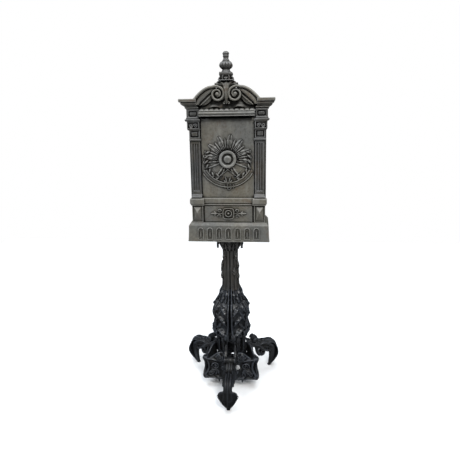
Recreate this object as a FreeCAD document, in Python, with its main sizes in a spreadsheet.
import FreeCAD, Part
import math
import os

import Sketcher

# Pedestal mailbox: a cast, temple-fronted letter box on a cast-iron tripod.
# Frame: +Z up, the letter slot faces -Y, the floor is z = 0. Every piece is drawn about the
# pedestal's axis and then placed axis_y along +Y, which centres the feet on the origin.
# Millimetres.

DIMENSIONS = {
    # tripod
    "axis_y": 38.62,
    "tip_radius": 174.7,
    "knee_radius": 215.0,
    "knee_height": 38.0,
    "hump_height": 123.5,
    "boss_height": 160.0,
    "leg_width": 36.0,
    "spade_half": 36.5,
    "hub_flat": 46.0,
    "hub_wall": 12.0,
    "hub_bottom": 96.0,
    "hub_window_low": 128.0,
    "hub_window_high": 190.0,
    "hub_window_half": 12.0,
    "hub_floor": 10.0,
    "bulb_bottom": 205.0,
    "bulb_top": 345.0,
    "collar_top": 392.0,
    "shaft_top": 543.0,
    "flange_bottom": 588.0,
    "casting_wall": 9.0,
    "rod_radius": 5.0,
    "rod_clearance": 1.0,
    "skirt_gap": 57.0,
    "skirt_thick": 7.0,
    "skirt_half": 88.0,
    "skirt_bottom": 36.0,
    "skirt_top": 132.0,
    "post_circle": 112.0,
    # letter box
    "box_bottom": 598.0,
    "box_top": 1066.0,
    "shell_half": 127.5,
    "shell_wall": 3.5,
    "shell_front": -46.0,
    "shell_rear": 58.0,
    "lip_width": 44.0,
    "lip_thick": 4.0,
    "floor_thick": 6.0,
    "roof_thick": 5.0,
    # front castings
    "face_plane": -52.0,
    "back_plate": 3.0,
    "panel_half": 88.0,
    "panel_bottom": 748.5,
    "panel_top": 1012.0,
    "pilaster_inner": 92.0,
    "pilaster_outer": 123.0,
    "pilaster_front": -60.0,
    "wing_outer": 129.5,
    "base_top": 748.0,
    "band_bottom": 722.0,
    "capital_bottom": 948.0,
    "abacus_top": 1013.0,
    "abacus_outer": 139.5,
    "cornice_bottom": 1044.0,
    "cornice_top": 1077.0,
    "cornice_half": 157.0,
    "cornice_front": -78.0,
    "arch_foot": 104.0,
    "plinth_bottom": 592.0,
    "plinth_top": 650.0,
    "plinth_shoulder": 660.0,
    "plinth_half": 143.5,
    "plinth_front": -68.0,
    # pediment and finial
    "volute_centre": 30.0,
    "volute_height": 1088.5,
    "volute_radius": 20.5,
    "pediment_front": -77.0,
    "pediment_rear": -49.0,
    "finial_y": -63.0,
    # flap
    "flap_half": 91.0,
    "flap_axis_y": -55.5,
    "flap_axis_z": 1039.0,
    "flap_barrel": 4.0,
    "flap_front": -78.0,
    "flap_bottom": 1018.0,
    "pin_radius": 2.0,
    "pin_clearance": 0.06,
    # door and lock
    "door_half": 115.0,
    "door_bottom": 612.0,
    "door_top": 1054.0,
    "door_thick": 3.5,
    "door_gap": 0.4,
    "opening_half": 110.0,
    "opening_bottom": 620.0,
    "opening_top": 1046.0,
    "hinge_x": -121.0,
    "hinge_y": 64.0,
    "hinge_knuckle": 4.5,
    "lock_x": 97.0,
    "lock_z": 834.0,
    "lock_radius": 8.0,
}

# Each figure is an azimuth in the plan, seen from above, anticlockwise from +X.
LEG_AZIMUTHS = {"front": -90.0, "right": 30.0, "left": 150.0}
BAR_COUNT = 7

doc = FreeCAD.newDocument("pedestal_mailbox")
parts = {}


class Size:
    """A length that carries its number and the sheet expression it comes from."""

    def __init__(self, value, text):
        self.value = value
        self.text = text

    def join(self, other, sign, value):
        return Size(value, f"({self.text} {sign} {size(other).text})")

    def __add__(self, other):
        return self.join(other, "+", self.value + size(other).value)

    def __sub__(self, other):
        return self.join(other, "-", self.value - size(other).value)

    def __mul__(self, other):
        return self.join(other, "*", self.value * size(other).value)

    def __truediv__(self, other):
        return self.join(other, "/", self.value / size(other).value)

    def __radd__(self, other):
        return size(other) + self

    def __rsub__(self, other):
        return size(other) - self

    def __rmul__(self, other):
        return size(other) * self

    def __neg__(self):
        return Size(-self.value, f"(0 - {self.text})")


def size(number):
    """Return a Size for a plain number, or the Size itself."""
    if isinstance(number, Size):
        return number
    return Size(float(number), repr(float(number)))


def make_sheet():
    """Write the driving dimensions to the sheet and return them as Sizes by name."""
    sheet = doc.addObject("Spreadsheet::Sheet", "Dims")
    sizes = {}
    for row, (alias, value) in enumerate(DIMENSIONS.items(), start=1):
        sheet.set(f"A{row}", alias.replace("_", " "))
        sheet.set(f"B{row}", repr(value))
        sheet.setAlias(f"B{row}", alias)
        sizes[alias] = Size(value, f"Dims.{alias}")
    doc.recompute()
    return sizes


def bind(thing, **values):
    """Bind each named property to its expression."""
    for name, value in values.items():
        thing.setExpression(name, size(value).text)


def move(thing, x=0, y=0, z=0):
    """Place an object by its distances from the foot of the pedestal's axis."""
    for letter, value in (("x", x), ("y", dim.axis_y + y), ("z", z)):
        thing.setExpression(f"Placement.Base.{letter}", size(value).text)


def finish(name, thing):
    """Give a finished sub-part its label and list it for export."""
    thing.Label = name
    parts[name] = thing
    return thing


# ---------------------------------------------------------------- primitives and booleans

def block(name, x_range, y_range, z_range):
    """A box between two corners."""
    thing = doc.addObject("Part::Box", name)
    lows = []
    for prop, (low, high) in (("Length", x_range), ("Width", y_range), ("Height", z_range)):
        thing.setExpression(prop, (size(high) - low).text)
        lows.append(low)
    move(thing, *lows)
    return thing


TURNS = {
    "x": FreeCAD.Rotation(FreeCAD.Vector(0, 1, 0), 90),
    "y": FreeCAD.Rotation(FreeCAD.Vector(1, 0, 0), -90),
    "z": FreeCAD.Rotation(),
}


def rod(name, radius, length, x=0, y=0, z=0, along="z"):
    """A cylinder that starts at a point and runs along a row axis."""
    thing = doc.addObject("Part::Cylinder", name)
    bind(thing, Radius=radius, Height=length)
    thing.Placement = FreeCAD.Placement(FreeCAD.Vector(), TURNS[along])
    move(thing, x, y, z)
    return thing


def hexagon(name, flats, length, x=0, y=0, z=0, along="z"):
    """A six-sided prism, measured across its flats."""
    thing = doc.addObject("Part::Prism", name)
    thing.Polygon = 6
    bind(thing, Circumradius=size(flats) / 2 / math.cos(math.radians(30)), Height=length)
    thing.Placement = FreeCAD.Placement(FreeCAD.Vector(), TURNS[along])
    move(thing, x, y, z)
    return thing


def cut(name, base, *tools):
    """Base minus every tool."""
    thing = doc.addObject("Part::Cut", name)
    thing.Base = base
    thing.Tool = tools[0] if len(tools) == 1 else fuse(f"{name}_tools", *tools)
    return thing


def fuse(name, *shapes):
    """One solid of several that meet."""
    thing = doc.addObject("Part::MultiFuse", name)
    thing.Shapes = list(shapes)
    return thing


def common(name, *shapes):
    """What several solids share."""
    thing = doc.addObject("Part::MultiCommon", name)
    thing.Shapes = list(shapes)
    return thing


def group(name, *shapes):
    """Separate solids kept as one sub-part."""
    thing = doc.addObject("Part::Compound", name)
    thing.Links = list(shapes)
    return thing


# ---------------------------------------------------------------- sketches

def new_sketch(body, role):
    """A sketch on one of a body's origin planes."""
    sketch = body.newObject("Sketcher::SketchObject", f"{body.Name}_sketch")
    plane = [item for item in body.Origin.OriginFeatures if item.Role == role][0]
    sketch.AttachmentSupport = [(plane, "")]
    sketch.MapMode = "FlatFace"
    return sketch


def pin_point(sketch, index, position, x, y):
    """Hold one point of a sketch at bound coordinates."""
    for kind, value in (("DistanceX", size(x)), ("DistanceY", size(y))):
        number = sketch.addConstraint(Sketcher.Constraint(kind, index, position, value.value))
        sketch.setExpression(f"Constraints[{number}]", value.text)


def vector(x, y):
    return FreeCAD.Vector(size(x).value, size(y).value, 0)


def outline(sketch, corners):
    """A closed outline. A corner with four entries starts an arc through its last two."""
    ends = []
    for number, corner in enumerate(corners):
        following = corners[(number + 1) % len(corners)]
        start = vector(corner[0], corner[1])
        stop = vector(following[0], following[1])
        forward = True
        if len(corner) == 4:
            through = vector(corner[2], corner[3])
            forward = (through - start).cross(stop - through).z > 0
            first, last = (start, stop) if forward else (stop, start)
            curve = Part.Arc(first, through, last)
        else:
            curve = Part.LineSegment(start, stop)
        index = sketch.addGeometry(curve, False)
        ends.append((index, 1, 2) if forward else (index, 2, 1))
        if len(corner) == 4:
            middle = sketch.addGeometry(Part.Point(vector(corner[2], corner[3])), True)
            sketch.addConstraint(Sketcher.Constraint("PointOnObject", middle, 1, index))
            pin_point(sketch, middle, 1, corner[2], corner[3])
    for number, (index, start, stop) in enumerate(ends):
        after = ends[(number + 1) % len(ends)]
        sketch.addConstraint(Sketcher.Constraint("Coincident", index, stop, after[0], after[1]))
        pin_point(sketch, index, start, corners[number][0], corners[number][1])


def hole(sketch, x, y, radius):
    """A circle in a sketch, with its centre and radius bound."""
    circle = Part.Circle(vector(x, y), FreeCAD.Vector(0, 0, 1), size(radius).value)
    index = sketch.addGeometry(circle, False)
    pin_point(sketch, index, 3, x, y)
    number = sketch.addConstraint(Sketcher.Constraint("Radius", index, size(radius).value))
    sketch.setExpression(f"Constraints[{number}]", size(radius).text)


def padded(name, role, corners, length, middle=False, holes=(), at=(0, 0, 0)):
    """A body: one outline, with round holes, padded off its plane."""
    body = doc.addObject("PartDesign::Body", name)
    move(body, *at)
    sketch = new_sketch(body, role)
    outline(sketch, corners)
    for x, y, radius in holes:
        hole(sketch, x, y, radius)
    pad = body.newObject("PartDesign::Pad", f"{name}_pad")
    pad.Profile = sketch
    pad.Midplane = middle
    bind(pad, Length=length)
    sketch.Visibility = False
    return body


def turned(name, corners, at=(0, 0, 0)):
    """A body: one outline in the XZ plane, revolved about the vertical axis."""
    body = doc.addObject("PartDesign::Body", name)
    move(body, *at)
    sketch = new_sketch(body, "XZ_Plane")
    outline(sketch, corners)
    turn = body.newObject("PartDesign::Revolution", f"{name}_turn")
    turn.Profile = sketch
    turn.ReferenceAxis = (sketch, ["V_Axis"])
    turn.Angle = 360
    return body


def radial(thing, azimuth, radius=0, z=0, sideways=0):
    """Swing an object drawn along +X to its azimuth, at a radius from the pedestal's axis."""
    spin = FreeCAD.Rotation(FreeCAD.Vector(0, 0, 1), azimuth)
    drawn = thing.Placement.Rotation
    thing.Placement = FreeCAD.Placement(FreeCAD.Vector(), spin.multiply(drawn))
    cosine, sine = math.cos(math.radians(azimuth)), math.sin(math.radians(azimuth))
    move(thing, size(radius) * cosine - size(sideways) * sine, size(radius) * sine + size(sideways) * cosine, z)
    return thing


def mirrored(corners):
    """Corners of the right half, followed by their mirror images on the left."""
    left = [(-size(corner[0]), *corner[1:2]) for corner in reversed(corners)]
    return list(corners) + left


def rectangle(x_low, x_high, y_low, y_high):
    return [(x_low, y_low), (x_high, y_low), (x_high, y_high), (x_low, y_high)]


dim = type("Dimensions", (), make_sheet())


# ---------------------------------------------------------------- pedestal

def make_castings():
    """The turned castings that stack on the tie rod, from the tripod's hub to the box."""
    bore = dim.rod_radius + dim.rod_clearance
    top, wall = dim.bulb_top, dim.casting_wall
    bottom = dim.bulb_bottom
    belly, roll, neck = size(71.5), size(75.5), size(53)
    finish("bulb", turned("bulb", [
        (bore, bottom), (neck + 10, bottom, roll, bottom + 20), (belly - 6, bottom + 42, belly, bottom + 88),
        (belly - 7, top - 18), (neck, top), (bore, top), (bore, top - wall), (neck - wall, top - wall),
        (belly - 7 - wall, top - 24), (belly - wall - 2, bottom + 88), (belly - wall - 6, bottom + wall),
        (bore, bottom + wall)]))
    inner, waist = size(20), size(30)
    finish("column_collar", turned("column_collar", [
        (inner, top), (neck, top), (waist + 16, top + 16), (waist + 15, top + 34), (waist + 7, dim.collar_top),
        (inner, dim.collar_top)]))
    low, high = dim.collar_top, dim.shaft_top
    finish("column_shaft", turned("column_shaft", [
        (inner, low), (waist + 6, low), (waist + 3, low + 38), (waist + 5, low + 55), (waist + 2, low + 75),
        (waist + 3, low + 95), (waist - 1, low + 113), (waist, high), (inner, high)]))
    finish("column_capital", turned("column_capital", [
        (bore, high), (waist, high, waist + 2, high + 19), (waist + 8, high + 37),
        (waist + 8, dim.flange_bottom), (bore, dim.flange_bottom)]))


BOX_BOLT_X = 44.0
BOX_BOLT_Y = 22.0
BOX_BOLT_PLACES = [(x, y) for x in (-BOX_BOLT_X, BOX_BOLT_X) for y in (-BOX_BOLT_Y, BOX_BOLT_Y)]
BOX_BOLT_RADIUS = 4.0
BOLT_HOLE_RADIUS = 4.3
WASHER_THICK = 1.6
NUT_HEIGHT = 6.5


def bolt_circle_holes():
    """The four bolt holes and the tie rod's hole, for a sketch about the pedestal's axis."""
    rows = [(x, y, BOLT_HOLE_RADIUS) for x, y in BOX_BOLT_PLACES]
    rows.append((0, 0, dim.rod_radius + dim.rod_clearance))
    return rows


def make_flange():
    """The plate at the head of the pedestal that the letter box is bolted to."""
    half_x, half_y, corner = size(56), size(36), 8
    corners = [(half_x, half_y - corner), (half_x - corner, half_y), (corner - half_x, half_y),
               (-half_x, half_y - corner), (-half_x, corner - half_y), (corner - half_x, -half_y),
               (half_x - corner, -half_y), (half_x, corner - half_y)]
    body = padded("pedestal_flange", "XY_Plane", corners, dim.box_bottom - dim.flange_bottom,
                  holes=bolt_circle_holes(), at=(0, 0, dim.flange_bottom))
    finish("pedestal_flange", body)


def make_box_bolts():
    """Four bolts down through the box floor and the flange, with washers and nuts."""
    bolts, washers, nuts = [], [], []
    floor = dim.box_bottom + dim.floor_thick
    for number, (x, y) in enumerate(BOX_BOLT_PLACES):
        shank = rod(f"bolt_shank_{number}", BOX_BOLT_RADIUS, floor + WASHER_THICK - dim.flange_bottom + 33,
                    x, y, dim.flange_bottom - 33)
        head = hexagon(f"bolt_head_{number}", 13, 5.3, x, y, floor + WASHER_THICK)
        bolts.append(fuse(f"bolt_{number}", shank, head))
        for side, low in (("top", floor), ("under", dim.flange_bottom - WASHER_THICK)):
            disc = rod(f"washer_disc_{side}_{number}", 8, WASHER_THICK, x, y, low)
            eye = rod(f"washer_eye_{side}_{number}", BOLT_HOLE_RADIUS, WASHER_THICK, x, y, low)
            washers.append(cut(f"washer_{side}_{number}", disc, eye))
        low = dim.flange_bottom - WASHER_THICK - NUT_HEIGHT
        nut = hexagon(f"nut_body_{number}", 13, NUT_HEIGHT, x, y, low)
        thread = rod(f"nut_thread_{number}", BOX_BOLT_RADIUS, NUT_HEIGHT, x, y, low)
        nuts.append(cut(f"nut_{number}", nut, thread))
    finish("box_bolts", group("box_bolts", *bolts))
    finish("box_washers", group("box_washers", *washers))
    finish("box_nuts", group("box_nuts", *nuts))


def make_tie_rod():
    """The rod that clamps the castings between the hub and the box, with a washer and a nut at each end."""
    washer, nut_height, spare = 2.5, 10.0, 6.0
    floor = dim.box_bottom + dim.floor_thick
    seat = dim.bulb_bottom - dim.hub_floor
    low = seat - washer - nut_height - spare
    high = floor + washer + nut_height + spare
    finish("tie_rod", rod("tie_rod", dim.rod_radius, high - low, 0, 0, low))
    washers, nuts = [], []
    for side, washer_z, nut_z in (("low", seat - washer, seat - washer - nut_height),
                                  ("high", floor, floor + washer)):
        disc = rod(f"rod_washer_disc_{side}", 13, washer, 0, 0, washer_z)
        eye = rod(f"rod_washer_eye_{side}", dim.rod_radius + 0.4, washer, 0, 0, washer_z)
        washers.append(cut(f"rod_washer_{side}", disc, eye))
        body = hexagon(f"rod_nut_body_{side}", 17, nut_height, 0, 0, nut_z)
        thread = rod(f"rod_nut_thread_{side}", dim.rod_radius, nut_height, 0, 0, nut_z)
        nuts.append(cut(f"rod_nut_{side}", body, thread))
    finish("tie_rod_washers", group("tie_rod_washers", *washers))
    finish("tie_rod_nuts", group("tie_rod_nuts", *nuts))


LEG_BOLT_HEIGHT = 111.5
LEG_BOLT_SIDES = (-9.0, 9.0)
LEG_BOLT_RADIUS = 3.0
LEG_BOLT_REACH = 14.0
LEG_BOLT_HEAD = 4.5
HUB_WINDOW_AZIMUTHS = (30.0, 90.0, 150.0)


def make_hub():
    """The six-sided hub: open below, arcaded with a window in each side, and drilled for the legs."""
    height, inside = dim.bulb_bottom - dim.hub_bottom, dim.hub_flat - dim.hub_wall
    outside = hexagon("hub_outside", dim.hub_flat * 2, height, 0, 0, dim.hub_bottom)
    hollow = hexagon("hub_hollow", inside * 2, height - dim.hub_floor, 0, 0, dim.hub_bottom)
    tools = [hollow, rod("hub_rod_hole", dim.rod_radius + dim.rod_clearance, height, 0, 0, dim.hub_bottom)]
    for azimuth in HUB_WINDOW_AZIMUTHS:
        arch = padded(f"hub_window_{azimuth:.0f}", "YZ_Plane", window_outline(), dim.hub_flat * 3, middle=True)
        tools.append(radial(arch, azimuth))
    for side, azimuth in LEG_AZIMUTHS.items():
        for sideways in LEG_BOLT_SIDES:
            drill = rod(f"hub_hole_{side}_{sideways:.0f}", LEG_BOLT_RADIUS + 0.3, dim.hub_wall + 2, along="x")
            tools.append(radial(drill, azimuth, inside - 1, LEG_BOLT_HEIGHT, sideways))
    finish("leg_hub", cut("leg_hub", outside, *tools))


def window_outline():
    """One round-headed window of the hub: half width against height."""
    low, high, half = dim.hub_window_low, dim.hub_window_high, dim.hub_window_half
    return [(-half, low), (half, low), (half, high - half, 0, high), (-half, high - half)]


def leg_outline():
    """Side view of a leg: radius against height, from the hub over the boss and the knee to the toe."""
    hub, knee, toe = dim.hub_flat, dim.knee_radius, dim.tip_radius
    return [
        (hub, 97), (hub + 34, 105, hub + 54, 103), (hub + 63, 88), (hub + 68, 60), (toe - 49, 45, toe - 33, 52),
        (toe - 19, 46.5, toe - 9, 38), (toe - 7, 20), (toe - 7, 0), (toe + 7, 0, knee - 11, 13),
        (knee, dim.knee_height, knee - 3, 72), (knee - 18, 99, knee - 28, 116),
        (knee - 42, dim.hump_height), (toe - 43, 131), (hub + 54, 146), (hub + 32, 131), (hub, 126)]


def toe_outline():
    """Side view of the leaf that hangs over the toe."""
    knee, toe = dim.knee_radius, dim.tip_radius
    return [(toe + 7, 0, knee - 11, 13), (knee, dim.knee_height, knee - 3, 72), (knee - 18, 99),
            (knee - 30, 92, knee - 15, 68), (knee - 14, 40, knee - 23, 22), (toe - 7, 8), (toe - 7, 0)]


def spade_outline():
    """Front view of the same leaf, half of it: half width against height."""
    half = dim.spade_half
    return mirrored([(8, 0), (half - 12, 34), (half, 66), (half - 2, 80), (half - 16, 94)])


def make_legs():
    """Three equal legs, each bolted to a side of the hub from inside."""
    bolts = []
    boss_radius, boss_half = 14.0, (dim.leg_width + 6) / 2
    inside = dim.hub_flat - dim.hub_wall
    for side, azimuth in LEG_AZIMUTHS.items():
        web = padded(f"leg_web_{side}", "XZ_Plane", leg_outline(), dim.leg_width, middle=True)
        leaf = padded(f"leg_leaf_{side}", "XZ_Plane", toe_outline(), dim.spade_half * 2, middle=True)
        spade = padded(f"leg_spade_{side}", "YZ_Plane", spade_outline(), dim.knee_radius)
        for body in (web, leaf, spade):
            radial(body, azimuth)
        boss = rod(f"leg_boss_{side}", boss_radius, boss_half * 2, along="y")
        radial(boss, azimuth, dim.hub_flat + 55, dim.boss_height - boss_radius, -boss_half)
        whole = fuse(f"leg_whole_{side}", web, boss, common(f"leg_toe_{side}", leaf, spade))
        drills = []
        for sideways in LEG_BOLT_SIDES:
            name = f"{side}_{sideways:.0f}"
            drill = rod(f"leg_drill_{name}", LEG_BOLT_RADIUS, LEG_BOLT_REACH, along="x")
            drills.append(radial(drill, azimuth, dim.hub_flat, LEG_BOLT_HEIGHT, sideways))
            shank = rod(f"leg_shank_{name}", LEG_BOLT_RADIUS, dim.hub_wall + LEG_BOLT_REACH, along="x")
            head = rod(f"leg_head_{name}", 5.5, LEG_BOLT_HEAD, along="x")
            radial(shank, azimuth, inside, LEG_BOLT_HEIGHT, sideways)
            radial(head, azimuth, inside - LEG_BOLT_HEAD, LEG_BOLT_HEIGHT, sideways)
            bolts.append(fuse(f"leg_bolt_{name}", shank, head))
        finish(f"leg_{side}", cut(f"leg_{side}", whole, *drills))
    finish("leg_bolts", group("leg_bolts", *bolts))


def make_skirts():
    """Three pierced panels, each notched over a leg, and a post at each corner between them."""
    low, high, half = dim.skirt_bottom, dim.skirt_top, dim.skirt_half
    slot, sill = dim.leg_width / 2 + 0.6, dim.hub_bottom + 1
    corners = [(50, low), (half - 4, low), (half, low + 8), (half, low + 22, half - 8, low + 60),
               (half, high, half - 36, high - 12), (slot, high + 10), (slot, sill)]
    left = [(-slot, sill), (-slot, high + 10, 36 - half, high - 12), (-half, high, 8 - half, low + 60),
            (-half, low + 22), (-half, low + 8), (4 - half, low)]
    spikes = [(-50, low), (-45, low - 16), (-40, low), (40, low), (45, low - 16)]
    holes = [(x, z, r) for side in (-1, 1) for x, z, r in ((side * 28, 86, 8.5), (side * 66, 66, 6))]
    panels = []
    for side, azimuth in LEG_AZIMUTHS.items():
        panel = padded(f"skirt_{side}", "XZ_Plane", corners + left + spikes, dim.skirt_thick, holes=holes)
        radial(panel, azimuth + 90)
        angle = math.radians(azimuth)
        move(panel, dim.skirt_gap * math.cos(angle), dim.skirt_gap * math.sin(angle))
        panels.append(finish(f"skirt_{side}", panel))
    posts = []
    for number, azimuth in enumerate((-30, 90, 210)):
        post = turned(f"post_{number}", [(0, low), (8, low), (11, low + 6), (11, low + 22), (6, low + 34),
                                         (6, high - 24), (11, high - 12), (11, high), (0, high)])
        radial(post, azimuth, dim.post_circle)
        posts.append(cut(f"post_notched_{number}", post, *panels))
    finish("skirt_posts", group("skirt_posts", *posts))


# ---------------------------------------------------------------- letter box

FRONT_SCREWS = [(side * x, z) for side in (-1, 1)
                for x, z in ((108, 800), (108, 960), (84, 780), (84, 980), (100, 690))]
SCREW_RADIUS = 2.0
SCREW_GRIP = 4.5


def screw_holes(name, places, low, high, radius=SCREW_RADIUS):
    """Holes along Y, from one depth to another, at each place in the XZ plane."""
    return [rod(f"{name}_{number}", radius, size(high) - low, x, low, z, along="y")
            for number, (x, z) in enumerate(places)]


def make_shell():
    """Side walls and top in one, open in front and behind, with a lip up each front edge."""
    half, wall, front, rear = dim.shell_half, dim.shell_wall, dim.shell_front, dim.shell_rear
    low, high = dim.box_bottom, dim.box_top
    outside = block("shell_outside", (-half, half), (front, rear), (low, high))
    hollow = block("shell_hollow", (wall - half, half - wall), (front - 1, rear + 1), (low - 1, high - wall))
    walls = cut("shell_walls", outside, hollow)
    lips = []
    for side, near, far in (("left", wall - half, wall - half + dim.lip_width),
                            ("right", half - wall - dim.lip_width, half - wall)):
        lips.append(block(f"shell_lip_{side}", (near, far), (front, front + dim.lip_thick),
                          (low + dim.floor_thick, dim.panel_top - 4)))
    holes = screw_holes("lip_hole", FRONT_SCREWS, front - 1, front + dim.lip_thick + 1, SCREW_RADIUS + 0.2)
    finish("box_shell", cut("box_shell", fuse("shell_with_lips", walls, *lips), *holes))


def make_floor_and_roof():
    """The box floor that the bolts pass through, and the rain plate over the top."""
    inside = dim.shell_half - dim.shell_wall
    floor = padded("bottom_plate", "XY_Plane", rectangle(-inside, inside, dim.shell_front, dim.shell_rear),
                   dim.floor_thick, holes=bolt_circle_holes(), at=(0, 0, dim.box_bottom))
    finish("bottom_plate", floor)
    finish("roof_plate", block("roof_plate", (-dim.shell_half, dim.shell_half),
                               (dim.shell_front, dim.shell_rear + 2), (dim.box_top, dim.box_top + dim.roof_thick)))


def make_screws():
    """Round-headed screws driven from inside the box into the front castings."""
    front = dim.shell_front
    screws = []
    for number, (x, z) in enumerate(FRONT_SCREWS):
        shank = rod(f"screw_shank_{number}", SCREW_RADIUS, dim.lip_thick + SCREW_GRIP, x, front - SCREW_GRIP, z,
                    along="y")
        head = rod(f"screw_head_{number}", 3.6, 2.4, x, front + dim.lip_thick, z, along="y")
        screws.append(fuse(f"screw_{number}", shank, head))
    finish("front_screws", group("front_screws", *screws))


def moulding(name, side_corners, front_corners, x_length):
    """A block moulded on its front and its ends: where a side view and a front view agree."""
    across = padded(f"{name}_across", "XZ_Plane", side_corners, 400, middle=True)
    along = padded(f"{name}_along", "YZ_Plane", front_corners, x_length, middle=True)
    return common(f"{name}_block", across, along)


def make_pilasters():
    """Each pilaster with its capital, its frieze block and the thin wing behind it."""
    front, wing_back, wing = dim.pilaster_front, dim.shell_front, dim.shell_front - dim.back_plate
    base, capital, abacus = dim.base_top, dim.capital_bottom, dim.abacus_top
    inner, outer, flare = dim.pilaster_inner, dim.pilaster_outer, dim.abacus_outer
    for side, sign in (("left", -1), ("right", 1)):
        def across(low, high):
            return (size(low), size(high)) if sign > 0 else (-size(high), -size(low))
        plate = block(f"wing_{side}", across(dim.panel_half + 0.3, dim.wing_outer), (wing, wing_back),
                      (base, dim.cornice_bottom))
        shaft = block(f"shaft_{side}", across(inner, outer), (front, wing), (base, capital))
        frieze = block(f"frieze_{side}", across(inner + 2, outer + 11.5), (front, wing_back),
                       (abacus, dim.cornice_bottom))
        spread = [(sign * size(x), z) for x, z in (
            (inner, capital), (outer + 1, capital), (outer + 5, capital + 31), (flare, abacus - 5),
            (flare, abacus), (inner, abacus))]
        depth = [(front, capital), (front - 3, capital + 31), (front - 9, abacus - 5), (front - 9, abacus),
                 (wing_back, abacus), (wing_back, capital)]
        head = moulding(f"capital_{side}", spread, depth, 400)
        whole = fuse(f"pilaster_whole_{side}", plate, shaft, frieze, head)
        places = [place for place in FRONT_SCREWS if place[0] == sign * 108]
        tools = screw_holes(f"pilaster_hole_{side}", places, wing_back - SCREW_GRIP, wing_back)
        low, high = across(inner + 2, inner + 9)
        tools.append(rod(f"pin_hole_{side}", dim.pin_radius, high - low, low, dim.flap_axis_y, dim.flap_axis_z,
                         along="x"))
        finish(f"pilaster_{side}", cut(f"pilaster_{side}", whole, *tools))


def make_base_course():
    """The lower casting: a plain panel between two dies, with a band and two blocks over them."""
    back, face, half = dim.shell_front, dim.face_plane, dim.shell_half
    low, band, top = dim.plinth_shoulder, dim.band_bottom, dim.base_top
    shapes = [block("base_plate", (-half, half), (face, back), (low, top)),
              block("base_band", (-84, 84), (face - 5, face), (band + 5, top)),
              block("base_step", (-84, 84), (face - 3, face), (band, band + 5))]
    for side, sign in (("left", -1), ("right", 1)):
        die = sorted((sign * 90.0, sign * 127.5))
        cap = sorted((sign * 84.0, sign * 132.5))
        shapes.append(block(f"base_die_{side}", die, (dim.pilaster_front, face), (low, band)))
        shapes.append(block(f"base_cap_{side}", cap, (dim.pilaster_front - 4, back), (band, top)))
    places = [place for place in FRONT_SCREWS if place[1] == 690]
    tools = screw_holes("base_hole", places, back - SCREW_GRIP, back)
    tools += screw_holes("base_rivet_hole", ROSETTE_RIVETS, face, back)
    finish("base_course", cut("base_course", fuse("base_whole", *shapes), *tools))


def make_plinth():
    """The flared foot of the box, round three sides, with a row of raised upright bars."""
    low, top, shoulder = dim.plinth_bottom, dim.plinth_top, dim.plinth_shoulder
    half, front, rear = dim.plinth_half, dim.plinth_front, dim.shell_rear
    across = mirrored([(half, low), (half - 3.5, top), (half - 12, shoulder)])
    along = [(front, low), (front + 3.5, top), (front + 11, shoulder), (rear, shoulder), (rear, low)]
    shape = moulding("plinth", across, along, 400)
    bars = []
    pitch = 31.0
    for number in range(BAR_COUNT):
        x = (number - (BAR_COUNT - 1) / 2) * pitch
        bars.append(block(f"plinth_bar_{number}", (x - 6, x + 6), (front - 0.5, front + 8), (low + 13, low + 48)))
    hollow = block("plinth_hollow", (-dim.shell_half, dim.shell_half), (dim.shell_front, rear), (low, shoulder))
    pocket = block("plinth_pocket", (-124, 124), (front + 8, dim.shell_front), (low, top - 6))
    finish("plinth", cut("plinth", fuse("plinth_whole", shape, *bars), hollow, pocket))


def make_cornices():
    """The two cornice blocks, moulded in front and along the sides, each side of the arch."""
    low, high = dim.cornice_bottom, dim.cornice_top
    half, front, rear, run = dim.cornice_half, dim.cornice_front, dim.shell_rear, 22.5
    along = [(front + run, low), (front + run - 3.5, low + 3), (front + 5, low + 17), (front + 2, low + 22),
             (front, low + 23), (front, high), (rear, high), (rear, low)]
    for side, sign in (("left", -1), ("right", 1)):
        across = [(sign * size(x), z) for x, z in (
            (94.5, low), (half - run + 2, low), (half - run + 3.5, low + 3), (half - 5, low + 17),
            (half - 2, low + 22), (half, low + 23), (half, high), (dim.arch_foot + 0.3, high),
            (dim.arch_foot + 0.3, low + 12), (94.5, low + 12))]
        shape = moulding(f"cornice_{side}", across, along, 400)
        core = block(f"cornice_core_{side}", (-dim.shell_half, dim.shell_half), (dim.shell_front, rear),
                     (low, high))
        behind = block(f"cornice_behind_{side}", (-dim.shell_half, dim.shell_half),
                       (dim.shell_front - dim.back_plate, dim.shell_front), (low, high))
        finish(f"cornice_{side}", cut(f"cornice_{side}", shape, core, behind))


PEDIMENT_SCREWS = [(-66, 1088), (-32, 1090), (0, 1096), (32, 1090), (66, 1088)]
PEDIMENT_GRIP = 8.0


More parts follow.
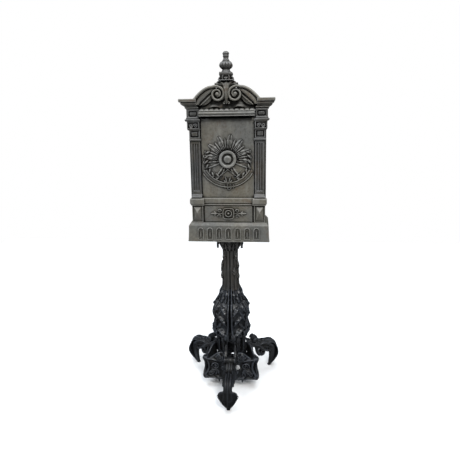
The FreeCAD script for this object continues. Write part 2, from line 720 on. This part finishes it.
def make_pediment():
    """Two swan-neck arms that end in volutes, on a plain arched back plate."""
    eye, height, radius = dim.volute_centre, dim.volute_height, dim.volute_radius
    foot, bottom = dim.arch_foot, dim.cornice_bottom + 12
    depth = dim.pediment_rear - dim.pediment_front
    arm = [(foot, bottom), (foot, dim.cornice_top, 88.5, 1096.5), (eye + 17, height + 28, eye - 11, height + 18.5),
           (eye - radius, height, eye, height - radius), (eye + radius, height - 2, 66, 1075), (77, bottom)]
    for side, sign in (("left", -1), ("right", 1)):
        corners = [tuple(sign * value if place in (0, 2) else value for place, value in enumerate(map(size, corner)))
                   for corner in arm]
        body = padded(f"pediment_arm_{side}", "XZ_Plane", corners, depth, at=(0, dim.pediment_rear, 0))
        places = [place for place in PEDIMENT_SCREWS if place[0] * sign > 0]
        holes = screw_holes(f"arm_hole_{side}", places, dim.pediment_rear - PEDIMENT_GRIP, dim.pediment_rear)
        finish(f"pediment_{side}", cut(f"pediment_{side}", body, *holes))
    plate = mirrored([(91, dim.flap_axis_z + 7), (91, 1085), (70, 1101), (44, 1107)])
    body = padded("tympanum_plate", "XZ_Plane", plate, dim.back_plate, at=(0, dim.shell_front, 0))
    holes = screw_holes("tympanum_hole", PEDIMENT_SCREWS, dim.pediment_rear - 1, dim.shell_front + 1,
                        SCREW_RADIUS + 0.2)
    finish("tympanum", cut("tympanum", body, *holes))
    screws = []
    for number, (x, z) in enumerate(PEDIMENT_SCREWS):
        shank = rod(f"pediment_shank_{number}", SCREW_RADIUS, PEDIMENT_GRIP + dim.back_plate, x,
                    dim.pediment_rear - PEDIMENT_GRIP, z, along="y")
        head = rod(f"pediment_head_{number}", 3.6, 2.4, x, dim.shell_front, z, along="y")
        screws.append(fuse(f"pediment_screw_{number}", shank, head))
    finish("pediment_screws", group("pediment_screws", *screws))


def make_finial():
    """The pendent leaf between the volutes, the finial on it, and the stud that joins them."""
    top, stud, sink = 1131.0, 3.0, 10.0
    leaf = mirrored([(7, 1074), (8.6, 1089), (10.5, 1098), (17, 1107.5), (25, 1113), (36, 1118), (38, 1125),
                     (28, top)])
    leaf.append((0, 1060))
    body = padded("leaf_body", "XZ_Plane", leaf, 26, at=(0, dim.pediment_rear, 0))
    holes = screw_holes("leaf_hole", PEDIMENT_SCREWS[2:3], dim.pediment_rear - PEDIMENT_GRIP, dim.pediment_rear)
    holes.append(rod("leaf_stud_hole", stud, sink, 0, dim.finial_y, top - sink))
    finish("keystone_leaf", cut("keystone_leaf", body, *holes))
    crown = 10.2
    cap = [(crown * math.cos(math.radians(angle)), top + 89 - crown + crown * math.sin(math.radians(angle)))
           for angle in (0, 45, 90)]
    cap[2] = (0, cap[2][1])
    die = block("finial_die", (-26, 26), (dim.finial_y - 18, dim.finial_y + 18), (top, top + 25))
    knob = turned("finial_knob", [
        (0, top + 25), (16, top + 25), (13, top + 35, 22, top + 47), (12, top + 59), (8.5, top + 65),
        (9.5, top + 72), (8.5, top + 76), cap[0] + cap[1], cap[2]], at=(0, dim.finial_y, 0))
    socket = rod("finial_stud_hole", stud, sink + 4, 0, dim.finial_y, top)
    finish("finial", cut("finial", fuse("finial_whole", die, knob), socket))
    finish("finial_stud", rod("finial_stud", stud, sink * 2 + 4, 0, dim.finial_y, top - sink))


EMBLEM_Z = 880.0
WREATH_THICK = 3.5
EMBLEM_RIVETS = [(-50, EMBLEM_Z), (50, EMBLEM_Z), (0, EMBLEM_Z - 80), (0, EMBLEM_Z)]
ROSETTE_Z = 692.0
ROSETTE_RIVETS = [(-12, ROSETTE_Z), (12, ROSETTE_Z)]
RIVET_BITE = 1.5


def make_rivets(name, places, bites):
    """Rivets with their heads behind the panel, each biting into the relief in front of it."""
    face, back = dim.face_plane, dim.shell_front
    rivets = []
    for number, ((x, z), bite) in enumerate(zip(places, bites)):
        shank = rod(f"{name}_shank_{number}", SCREW_RADIUS, back - face + bite, x, face - bite, z, along="y")
        head = rod(f"{name}_head_{number}", 4, 1.8, x, back, z, along="y")
        rivets.append(fuse(f"{name}_{number}", shank, head))
    finish(name, group(name, *rivets))


def make_panel():
    """The centre panel with its wreath and medallion, and the rosette on the base course."""
    face, back = dim.face_plane, dim.shell_front
    body = padded("panel_body", "XZ_Plane",
                  rectangle(-dim.panel_half, dim.panel_half, dim.panel_bottom, dim.panel_top), back - face,
                  at=(0, back, 0))
    places = [place for place in FRONT_SCREWS if abs(place[0]) == 84]
    tools = screw_holes("panel_hole", places, back - SCREW_GRIP, back)
    tools += screw_holes("panel_rivet_hole", EMBLEM_RIVETS, face, back)
    finish("centre_panel", cut("centre_panel", body, *tools))
    fan = mirrored([(14, EMBLEM_Z - 108), (30, EMBLEM_Z - 102), (62, EMBLEM_Z - 80), (82, EMBLEM_Z - 48),
                    (84, EMBLEM_Z), (68, EMBLEM_Z + 52), (40, EMBLEM_Z + 78), (14, EMBLEM_Z + 87)])
    wreath = padded("wreath_body", "XZ_Plane", fan, WREATH_THICK, at=(0, face, 0))
    through = WREATH_THICK + RIVET_BITE
    bites = [RIVET_BITE] * 3 + [through]
    holes = [rod(f"wreath_hole_{number}", SCREW_RADIUS, bite, x, face - bite, z, along="y")
             for number, ((x, z), bite) in enumerate(zip(EMBLEM_RIVETS, bites))]
    finish("wreath", cut("wreath", wreath, *holes))
    disc = rod("medallion_disc", 29.5, 4, 0, face - WREATH_THICK - 4, EMBLEM_Z, along="y")
    boss = rod("medallion_boss", 12.5, 4, 0, face - WREATH_THICK - 8, EMBLEM_Z, along="y")
    socket = rod("medallion_hole", SCREW_RADIUS, RIVET_BITE, 0, face - through, EMBLEM_Z, along="y")
    finish("medallion", cut("medallion", fuse("medallion_whole", disc, boss), socket))
    make_rivets("emblem_rivets", EMBLEM_RIVETS, bites)
    flower = rod("rosette_disc", 20.5, 3, 0, face - 3, ROSETTE_Z, along="y")
    heart = rod("rosette_heart", 8, 6, 0, face - 6, ROSETTE_Z, along="y")
    arms = block("rosette_arms", (-64, 64), (face - 3, face), (ROSETTE_Z - 9, ROSETTE_Z + 9))
    holes = screw_holes("rosette_hole", ROSETTE_RIVETS, face - RIVET_BITE, face)
    finish("rosette", cut("rosette", fuse("rosette_whole", flower, heart, arms), *holes))
    make_rivets("rosette_rivets", ROSETTE_RIVETS, [RIVET_BITE] * 2)


def make_flap():
    """The hooded letter flap: a bent plate that hangs from a barrel along its top edge."""
    y, z, front, half = dim.flap_axis_y, dim.flap_axis_z, dim.flap_front, dim.flap_half
    section = [(y, z + 3.5), (front + 3, z - 1.5), (front, z - 4), (front, z - 12), (front + 2.5, z - 14),
               (front + 2.5, dim.flap_bottom), (front + 5.5, dim.flap_bottom), (front + 5.5, z - 4.5),
               (y - 3, z - 0.5)]
    hood = padded("flap_hood", "YZ_Plane", section, half * 2, middle=True)
    barrel = rod("flap_barrel_rod", dim.flap_barrel, half * 2, -half, y, z, along="x")
    bore = rod("flap_bore", dim.pin_radius + dim.pin_clearance, half * 2 + 2, -half - 1, y, z, along="x")
    finish("mail_flap", cut("mail_flap", fuse("flap_whole", hood, barrel), bore))
    reach = dim.pilaster_inner + 9
    finish("flap_pin", rod("flap_pin", dim.pin_radius, reach * 2, -reach, y, z, along="x"))


# ---------------------------------------------------------------- rear door and lock

KNUCKLE_LENGTH = 16.0
KNUCKLE_GAP = 0.4
HINGE_HEIGHTS = (690.0, 960.0)


def make_rear_frame():
    """The frame that closes the back of the shell round the door opening."""
    inside = dim.shell_half - dim.shell_wall
    low, high = dim.box_bottom + dim.floor_thick, dim.box_top - dim.shell_wall
    ring = block("rear_ring", (-inside, inside), (dim.shell_rear - 8, dim.shell_rear), (low, high))
    opening = block("rear_opening", (-dim.opening_half, dim.opening_half),
                    (dim.shell_rear - 9, dim.shell_rear + 1), (dim.opening_bottom, dim.opening_top))
    finish("rear_frame", cut("rear_frame", ring, opening))


def knuckle(name, low, leaf_x, leaf_y, hole_radius):
    """One hinge knuckle with its leaf and its pin hole."""
    x, y = dim.hinge_x, dim.hinge_y
    high = size(low) + KNUCKLE_LENGTH
    barrel = rod(f"{name}_barrel", dim.hinge_knuckle, KNUCKLE_LENGTH, x, y, low)
    leaf = block(f"{name}_leaf", leaf_x, leaf_y, (low, high))
    bore = rod(f"{name}_bore", hole_radius, KNUCKLE_LENGTH, x, y, low)
    return cut(name, fuse(f"{name}_whole", barrel, leaf), bore)


def make_hinges():
    """Two hinges: each has a door knuckle between two frame knuckles, on a headed pin."""
    x, y, rear = dim.hinge_x, dim.hinge_y, dim.shell_rear
    door_face = rear + dim.door_gap + dim.door_thick
    frame_side, door_side, pins = [], [], []
    step = KNUCKLE_LENGTH + KNUCKLE_GAP
    for number, low in enumerate(HINGE_HEIGHTS):
        for part, start in (("low", low), ("high", low + 2 * step)):
            frame_side.append(knuckle(f"frame_knuckle_{part}_{number}", start, (x - 5, x + 5), (rear, y),
                                      dim.pin_radius))
        door_side.append(knuckle(f"door_knuckle_{number}", low + step, (x, x + 20), (door_face, door_face + 2.6),
                                 dim.pin_radius + dim.pin_clearance))
        length = KNUCKLE_LENGTH * 3 + KNUCKLE_GAP * 2
        shank = rod(f"door_pin_shank_{number}", dim.pin_radius, length, x, y, low)
        head = rod(f"door_pin_head_{number}", 3.4, 2.2, x, y, low + length)
        pins.append(fuse(f"door_pin_{number}", shank, head))
    finish("frame_knuckles", group("frame_knuckles", *frame_side))
    finish("door_knuckles", group("door_knuckles", *door_side))
    finish("door_pins", group("door_pins", *pins))


def make_door():
    """The emptying door, lapped over the rear opening, with a cam lock."""
    near = dim.shell_rear + dim.door_gap
    face = near + dim.door_thick
    x, z, radius = dim.lock_x, dim.lock_z, dim.lock_radius
    plate = block("door_plate", (-dim.door_half, dim.door_half), (near, face), (dim.door_bottom, dim.door_top))
    hole_through = rod("door_lock_hole", radius, dim.door_thick + 2, x, near - 1, z, along="y")
    finish("rear_door", cut("rear_door", plate, hole_through))
    plug_radius, cam_thick, inner_end = size(5.5), size(2.5), near - 8
    flange = rod("lock_flange", radius + 2.5, 2.5, x, face, z, along="y")
    barrel = rod("lock_barrel", radius, face - inner_end, x, inner_end, z, along="y")
    bore = rod("lock_bore", plug_radius, face - inner_end + 4, x, inner_end - 1, z, along="y")
    finish("lock_body", cut("lock_body", fuse("lock_body_whole", flange, barrel), bore))
    ring = hexagon("lock_nut_body", 20, 4, x, near - 4, z, along="y")
    thread = rod("lock_nut_thread", radius, 4, x, near - 4, z, along="y")
    finish("lock_nut", cut("lock_nut", ring, thread))
    cam_face = inner_end - 0.7
    plug = rod("plug_rod", plug_radius - dim.pin_clearance, face + 2.3 - cam_face, x, cam_face, z, along="y")
    keyway = block("plug_keyway", (x - 0.7, x + 0.7), (face - 6, face + 3), (z - 3.6, z + 3.6))
    tapped = rod("plug_tapped", 2.5, 6, x, cam_face, z, along="y")
    finish("lock_plug", cut("lock_plug", plug, keyway, tapped))
    arm = block("cam_arm", (x - 6, x + 6), (cam_face - cam_thick, cam_face), (z, z + 24))
    round_end = rod("cam_round", 7.5, cam_thick, x, cam_face - cam_thick, z, along="y")
    eye = rod("cam_eye", 2.5, cam_thick, x, cam_face - cam_thick, z, along="y")
    finish("lock_cam", cut("lock_cam", fuse("cam_whole", arm, round_end), eye))
    shank = rod("cam_screw_shank", 2.5, cam_thick + 6, x, cam_face - cam_thick, z, along="y")
    head = rod("cam_screw_head", 4.5, 2.4, x, cam_face - cam_thick - 2.4, z, along="y")
    finish("cam_screw", fuse("cam_screw", shank, head))


# ---------------------------------------------------------------- build, check and write

def check_document():
    """Stop if any object failed, or any sub-part is empty, broken or not solid."""
    for item in doc.Objects:
        if "Invalid" in item.State or "Error" in item.State:
            raise RuntimeError(f"{item.Name} ({item.Label}) failed: {item.State}")
    for name, thing in parts.items():
        shape = thing.Shape
        if shape.isNull() or not shape.isValid() or not shape.Solids:
            raise RuntimeError(f"{name} has no valid solid")


def write_parts():
    """Write one STEP file for each sub-part."""
    os.makedirs("parts", exist_ok=True)
    for name, thing in parts.items():
        thing.Shape.exportStep(f"parts/{name}.step")


make_castings()
make_flange()
make_box_bolts()
make_tie_rod()
make_hub()
make_legs()
make_skirts()
make_shell()
make_floor_and_roof()
make_screws()
make_pilasters()
make_base_course()
make_plinth()
make_cornices()
make_pediment()
make_finial()
make_panel()
make_flap()
make_rear_frame()
make_hinges()
make_door()
doc.recompute()
check_document()
write_parts()
for name, thing in parts.items():
    print(f"{name}: {len(thing.Shape.Solids)} solids, {thing.Shape.Volume / 1000:.1f} cm3")
